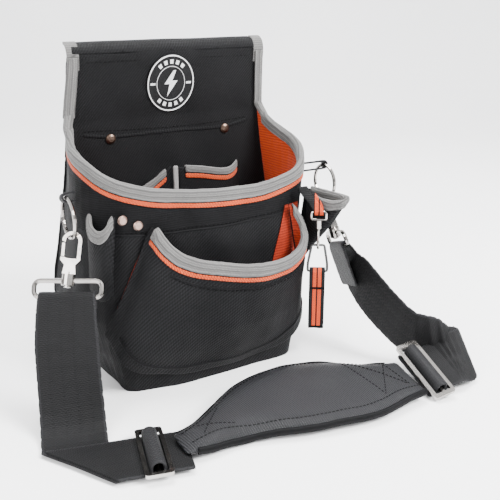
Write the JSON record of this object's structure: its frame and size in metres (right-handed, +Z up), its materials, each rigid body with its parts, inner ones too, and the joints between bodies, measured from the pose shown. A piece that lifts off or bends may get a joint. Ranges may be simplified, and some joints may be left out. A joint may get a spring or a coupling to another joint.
{
  "type": "electrician tool pouch",
  "caption": "Open-top nylon tool pouch with bound pockets, a belt tunnel, a hanging tape strap and a padded shoulder strap on snap hooks.",
  "frame": {"origin": "middle of the underside of the pouch floor, on the surface it stands on", "axes": "+X to the right facing the pouch, +Y towards the back panel, +Z up"},
  "size_m": [0.3884, 0.2583, 0.3011],
  "materials": {
    "nylon": "black ballistic nylon twill",
    "orange_lining": "orange ribbed lining cloth",
    "grey_binding": "light grey woven binding tape",
    "orange_trim": "orange ribbed piping",
    "webbing": "charcoal woven webbing",
    "nickel": "nickel-plated steel",
    "dark_wire": "black coated wire",
    "copper": "antique copper rivets",
    "patch": "moulded patch with a printed border",
    "padding": "ribbed grey-black pad cover"
  },
  "bodies": {
    "root": {"main_shell": "nylon", "main_lining": "orange_lining", "main_floor": "nylon", "main_rim_binding": "grey_binding", "main_rim_trim": "orange_trim", "back_panel": "nylon", "belt_tunnel_flap": "nylon", "panel_rivet_left": "copper", "panel_rivet_right": "copper", "panel_binding_left": "grey_binding", "panel_binding_right": "grey_binding", "oval_patch": "patch", "inner_pocket_left": "nylon", "inner_binding_left": "grey_binding", "inner_trim_left": "orange_trim", "inner_pocket_right": "nylon", "inner_binding_right": "grey_binding", "inner_trim_right": "orange_trim", "inner_divider_strip": "grey_binding", "front_pocket": "nylon", "front_pocket_lining": "orange_lining", "front_pocket_binding": "grey_binding", "front_pocket_trim": "orange_trim", "corner_pocket_left": "nylon", "corner_pocket_binding_left": "grey_binding", "corner_pocket_right": "nylon", "corner_pocket_binding_right": "grey_binding", "ring_tab_left": "webbing", "ring_tab_right": "webbing", "pocket_rivet_outer": "copper", "pocket_rivet_inner": "copper", "tape_snap": "nickel", "tape_tab": "webbing"},
    "ring_left": {"ring_left": "nickel"},
    "ring_right": {"ring_right": "nickel"},
    "strap": {"strap_loop_left": "nickel", "strap_loop_right": "nickel", "webbing_left": "webbing", "webbing_right": "webbing", "shoulder_pad": "padding"},
    "hook_left": {"hook_left": "nickel"},
    "hook_right": {"hook_right": "nickel"},
    "gate_left": {"hook_gate_left": "nickel"},
    "gate_right": {"hook_gate_right": "nickel"},
    "slider_left": {"slider_left": "nickel", "slider_roll_left": "webbing"},
    "slider_right": {"slider_right": "nickel", "slider_roll_right": "webbing"},
    "tape": {"tape_ring": "dark_wire", "tape_loop": "webbing"},
    "tape_gate": {"tape_gate": "nickel"}
  },
  "joints": [
    {"name": "strap_swing", "type": "hinge", "parent": "root", "child": "strap", "pos_m": [0, -0.018, 0.164], "axis": [-1, 0, 0], "range_deg": [0, 120]},
    {"name": "ring_left_spin", "type": "hinge", "parent": "root", "child": "ring_left", "pos_m": [-0.1205, -0.018, 0.164], "axis": [-0.9995, -0.03, 0], "continuous": true},
    {"name": "ring_right_spin", "type": "hinge", "parent": "root", "child": "ring_right", "pos_m": [0.138, -0.018, 0.164], "axis": [-1, 0, 0], "continuous": true},
    {"name": "hook_left_swivel", "type": "hinge", "parent": "strap", "child": "hook_left", "pos_m": [-0.12008, -0.02548, 0.14851], "axis": [-0.2911, -0.3882, -0.8744], "range_deg": [-15, 4]},
    {"name": "hook_right_swivel", "type": "hinge", "parent": "strap", "child": "hook_right", "pos_m": [0.138, -0.02074, 0.14702], "axis": [0.242, -0.154, -0.958], "range_deg": [-12, 15]},
    {"name": "hook_left_gate", "type": "hinge", "parent": "hook_left", "child": "gate_left", "pos_m": [-0.13052, -0.02821, 0.13548], "axis": [0.3932, 0.7847, -0.4793], "range_deg": [0, 20], "stiffness_Nm_per_rad": 0.01},
    {"name": "hook_right_gate", "type": "hinge", "parent": "hook_right", "child": "gate_right", "pos_m": [0.13545, -0.02536, 0.13094], "axis": [-0.2869, 0.9318, -0.2223], "range_deg": [0, 20], "stiffness_Nm_per_rad": 0.01},
    {"name": "slider_left_slide", "type": "slide", "parent": "strap", "child": "slider_left", "axis": [0.9756, -0.2196, 0], "range_m": [-0.02, 0]},
    {"name": "slider_right_slide", "type": "slide", "parent": "strap", "child": "slider_right", "axis": [0.9853, -0.06, 0.16], "range_m": [0, 0.006]},
    {"name": "tape_swing", "type": "hinge", "parent": "root", "child": "tape", "pos_m": [0.103, -0.062, 0.1165], "axis": [-0.8486, 0.5291, 0], "range_deg": [0, 25]},
    {"name": "tape_gate_spring", "type": "hinge", "parent": "root", "child": "tape_gate", "pos_m": [0.10057, -0.0659, 0.1224], "axis": [-0.8486, 0.5291, 0], "range_deg": [0, 18], "stiffness_Nm_per_rad": 0.003}
  ]
}
